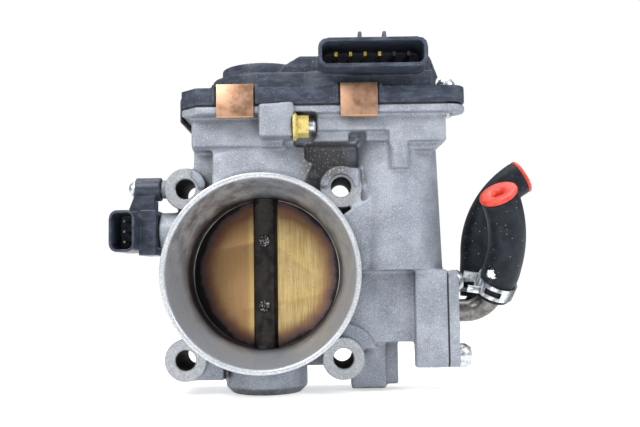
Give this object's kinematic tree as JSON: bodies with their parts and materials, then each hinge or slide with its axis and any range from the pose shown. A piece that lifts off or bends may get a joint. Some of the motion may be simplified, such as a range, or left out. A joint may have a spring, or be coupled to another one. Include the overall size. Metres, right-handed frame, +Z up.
{
  "type": "throttle body",
  "caption": "Electronic throttle body with a cast housing, round inlet neck, geared shaft and plate, clipped plastic cover, pressure sensor and two coolant hose stubs.",
  "frame": {"origin": "centre of the outlet bore on the rear flange face", "axes": "+Y points out of the rear flange into the manifold, +Z up along the throttle shaft towards the gear cover, +X right seen from the inlet"},
  "size_m": [0.1814, 0.0667, 0.1481],
  "materials": {
    "cast_aluminium": "as-cast, shot-blasted, machined on the faces",
    "cover_plastic": "glass-filled black plastic, satin",
    "clip_steel": "copper-coloured spring steel",
    "zinc_steel": "bright zinc plated",
    "bearing_steel": "ground steel",
    "black_steel": "black coated, satin",
    "plate_brass": "rolled brass, tarnished brown",
    "seal_rubber": "matt",
    "hose_rubber": "smooth extruded rubber",
    "cap_vinyl": "soft red vinyl",
    "yellow_paint": "paint over zinc",
    "terminal_gold": "gold flash",
    "terminal_tin": "tinned",
    "gear_nylon": "natural nylon",
    "board": "printed board",
    "motor_plastic": "moulded, matt",
    "ferrite": "sintered",
    "graphite": "pressed carbon",
    "winding": "enamelled copper over laminations",
    "sintered_bronze": "sintered",
    "pipe_metal": "dull, heat stained"
  },
  "bodies": {
    "housing": {"throttle_housing": "cast_aluminium", "gear_cover": "cover_plastic", "cover_gasket": "seal_rubber", "cover_clips": "clip_steel", "cover_screws": "zinc_steel", "connector_terminals": "terminal_gold", "position_sensor": "board", "upper_bearing": "bearing_steel", "lower_bearing": "bearing_steel", "upper_seal": "seal_rubber", "lower_seal": "seal_rubber", "bearing_cap": "zinc_steel", "return_spring": "bearing_steel", "motor_case": "zinc_steel", "motor_end_cap": "motor_plastic", "motor_magnets": "ferrite", "motor_brushes": "graphite", "motor_terminals": "terminal_gold", "motor_bushes": "sintered_bronze", "motor_screws": "zinc_steel", "stop_screw": "zinc_steel", "stop_nut": "yellow_paint", "idler_pin": "bearing_steel", "map_sensor": "cover_plastic", "map_sensor_terminals": "terminal_tin", "map_sensor_oring": "seal_rubber", "map_sensor_screw": "zinc_steel", "map_sensor_bush": "zinc_steel", "coolant_cover": "cast_aluminium", "coolant_gasket": "seal_rubber", "coolant_screws": "zinc_steel", "front_pipe": "pipe_metal", "rear_pipe": "pipe_metal", "front_hose": "hose_rubber", "rear_hose": "hose_rubber", "front_clamp": "zinc_steel", "rear_clamp": "zinc_steel", "front_cap": "cap_vinyl", "rear_cap": "cap_vinyl"},
    "throttle": {"throttle_shaft": "black_steel", "throttle_plate": "plate_brass", "plate_screws": "black_steel", "sector_gear": "gear_nylon", "shaft_nut": "zinc_steel", "sensor_magnet": "ferrite"},
    "idler": {"idler_gear": "gear_nylon"},
    "rotor": {"motor_shaft": "bearing_steel", "motor_armature": "winding", "motor_commutator": "sintered_bronze", "motor_pinion": "sintered_bronze"}
  },
  "joints": [
    {"name": "throttle_turn", "type": "hinge", "parent": "housing", "child": "throttle", "pos_m": [0, -0.02, 0], "axis": [0, 0, -1], "range_deg": [-6, 78], "stiffness_Nm_per_rad": 0.06, "deforming": ["return_spring"]},
    {"name": "idler_turn", "type": "hinge", "parent": "housing", "child": "idler", "pos_m": [0.0288, -0.02, 0], "axis": [0, 0, -1], "range_deg": [-276, 24]},
    {"name": "motor_turn", "type": "hinge", "parent": "housing", "child": "rotor", "pos_m": [0.05505, -0.02, 0], "axis": [0, 0, -1], "range_deg": [-106.15, 1308]}
  ],
  "couplings": [
    {"joint": "idler_turn", "follows": "throttle_turn", "ratio": -3.5},
    {"joint": "motor_turn", "follows": "throttle_turn", "ratio": 16.692}
  ]
}
